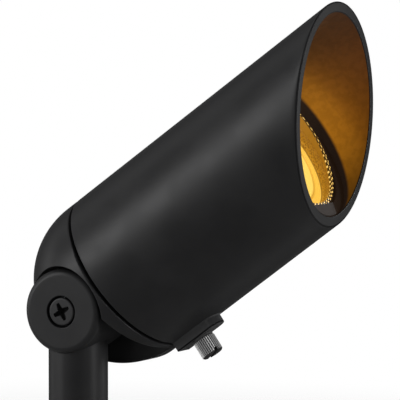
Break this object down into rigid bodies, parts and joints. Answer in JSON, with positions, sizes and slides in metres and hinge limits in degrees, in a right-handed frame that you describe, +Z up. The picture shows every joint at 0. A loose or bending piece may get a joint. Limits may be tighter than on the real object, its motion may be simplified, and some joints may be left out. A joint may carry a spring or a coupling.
{
  "type": "outdoor spotlight",
  "caption": "Landscape accent spotlight: a black cylindrical head with a slanted glare mouth, a domed rear housing and a side knuckle that tilts on a threaded stem.",
  "frame": {"origin": "foot of the stem, on its axis, where the half-inch pipe thread starts", "axes": "+Z up along the stem, +X the way the lamp points, Y along the knuckle's hinge"},
  "size_m": [0.1178, 0.0634, 0.1736],
  "materials": {
    "black_coat": "satin black powder coat on cast aluminium",
    "black_screw": "black coated steel",
    "nickel": "nickel plate",
    "brass": "turned brass",
    "black_rubber": "moulded rubber",
    "zinc_steel": "zinc plate",
    "lead_insulation": "glass sleeving",
    "ceramic": "steatite ceramic",
    "contact_brass": "spring brass",
    "reflector": "bright faceted reflector",
    "lamp_optic": "pressed facets, lit amber",
    "led_board": "white board with a warm emitter",
    "lens_glass": "clear tempered glass",
    "silicone": "silicone",
    "ring_coat": "matt dark coat"
  },
  "bodies": {
    "stem": {"stem_post": "black_coat", "threaded_nipple": "brass", "cable_grommet": "black_rubber"},
    "head": {"rear_housing": "black_coat", "housing_oring": "black_rubber", "knuckle_screw": "black_screw", "knuckle_washer": "zinc_steel", "knuckle_nut": "zinc_steel", "knuckle_gasket": "black_rubber", "lead_grommet": "black_rubber", "lead_wires": "lead_insulation", "socket_bracket": "zinc_steel", "bracket_screws": "zinc_steel", "lamp_socket": "ceramic", "socket_contacts": "contact_brass", "lamp_reflector": "reflector", "lamp_optic": "lamp_optic", "lamp_led_board": "led_board", "lamp_base": "ceramic", "lamp_pins": "nickel"},
    "shroud": {"shroud": "black_coat", "lens_glass": "lens_glass", "lens_gasket": "silicone", "lens_ring": "ring_coat"},
    "thumbscrew_washer": {"thumbscrew_washer": "black_rubber"},
    "thumbscrew": {"thumbscrew": "nickel"}
  },
  "joints": [
    {"name": "knuckle_tilt", "type": "hinge", "parent": "stem", "child": "head", "pos_m": [0, 0, 0.046], "axis": [0, -1, 0], "range_deg": [-36, 54]},
    {"name": "shroud_slide", "type": "slide", "parent": "head", "child": "shroud", "axis": [0.809, 0, 0.5878], "range_m": [0, 0.08]},
    {"name": "thumbscrew_travel", "type": "slide", "parent": "shroud", "child": "thumbscrew_washer", "axis": [0.5878, 0, -0.809], "range_m": [0, 0.0028]},
    {"name": "thumbscrew_turn", "type": "hinge", "parent": "thumbscrew_washer", "child": "thumbscrew", "pos_m": [0.02109, 0.0165, 0.06478], "axis": [0.5878, 0, -0.809], "range_deg": [0, 1441]}
  ],
  "couplings": [
    {"joint": "thumbscrew_turn", "follows": "thumbscrew_travel", "rad_per_m": 8976}
  ]
}
